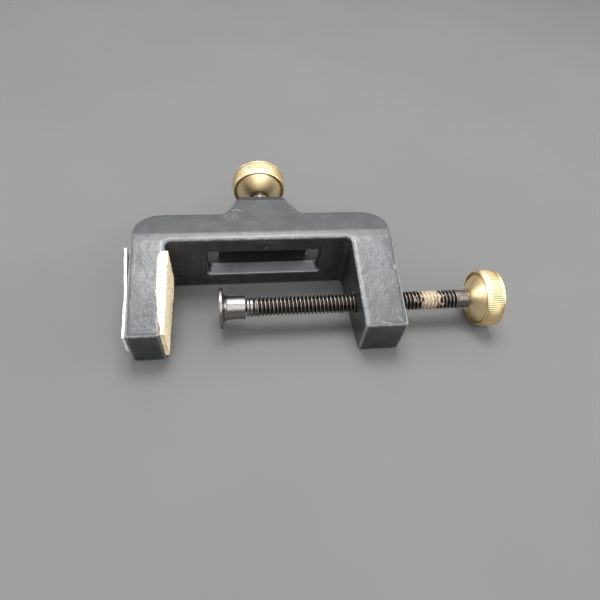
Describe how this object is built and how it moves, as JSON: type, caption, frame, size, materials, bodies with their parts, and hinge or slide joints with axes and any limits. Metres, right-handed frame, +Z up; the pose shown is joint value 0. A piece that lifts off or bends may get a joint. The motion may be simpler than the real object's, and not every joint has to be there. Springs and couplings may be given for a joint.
{
  "type": "small bench clamp",
  "caption": "Small cast C-shaped bench clamp lying on its side, with a cork-faced jaw, a clamp screw with a swivel pad and a second thumb screw in its back, both with knurled brass knobs.",
  "frame": {"origin": "on the surface that the arms' undersides rest on, at the middle of the laid object's length and depth", "axes": "+X along the clamp screw from the cork jaw to its knob, +Y from the jaw tips to the back screw's knob, +Z up"},
  "size_m": [0.1226, 0.0748, 0.0288],
  "materials": {
    "cast_black": "satin black enamel on a casting, worn on the edges",
    "cork": "matte cork sheet, torn edges",
    "label": "matte blank paper",
    "dark_steel": "blackened steel, bright on the thread crests",
    "bright_steel": "turned, worn bright",
    "brass": "turned and polished, straight knurl on the rim"
  },
  "bodies": {
    "casting": {"frame": "cast_black", "cork_pad": "cork", "outer_label": "label"},
    "pad_carrier": {"retaining_ring": "bright_steel"},
    "pad": {"swivel_pad": "bright_steel"},
    "clamp_spindle": {"clamp_screw": "dark_steel", "neck_collar": "bright_steel", "clamp_knob": "brass"},
    "thrust_tip_body": {"thrust_tip": "bright_steel"},
    "back_spindle": {"back_screw": "dark_steel", "back_knob": "brass"}
  },
  "joints": [
    {"name": "clamp_travel", "type": "slide", "parent": "casting", "child": "pad_carrier", "axis": [1, 0, 0], "range_m": [-0.0145, 0.035]},
    {"name": "clamp_turn", "type": "hinge", "parent": "pad_carrier", "child": "clamp_spindle", "pos_m": [-0.0165, -0.02241, 0.00968], "axis": [1, 0, 0], "range_deg": [-4112, 9923]},
    {"name": "pad_tilt", "type": "hinge", "parent": "pad_carrier", "child": "pad", "pos_m": [-0.0271, -0.02241, 0.00968], "axis": [0, -0.1574, 0.9875], "range_deg": [-5, 5]},
    {"name": "back_travel", "type": "slide", "parent": "casting", "child": "thrust_tip_body", "axis": [0, 0.9875, 0.1574], "range_m": [-0.0063, 0.005]},
    {"name": "back_turn", "type": "hinge", "parent": "thrust_tip_body", "child": "back_spindle", "pos_m": [-0.0165, 0.02519, 0.01726], "axis": [0, 0.9875, 0.1574], "range_deg": [-1787, 1419]}
  ],
  "couplings": [
    {"joint": "clamp_turn", "follows": "clamp_travel", "rad_per_m": 4947.4},
    {"joint": "back_turn", "follows": "back_travel", "rad_per_m": 4947.4}
  ]
}
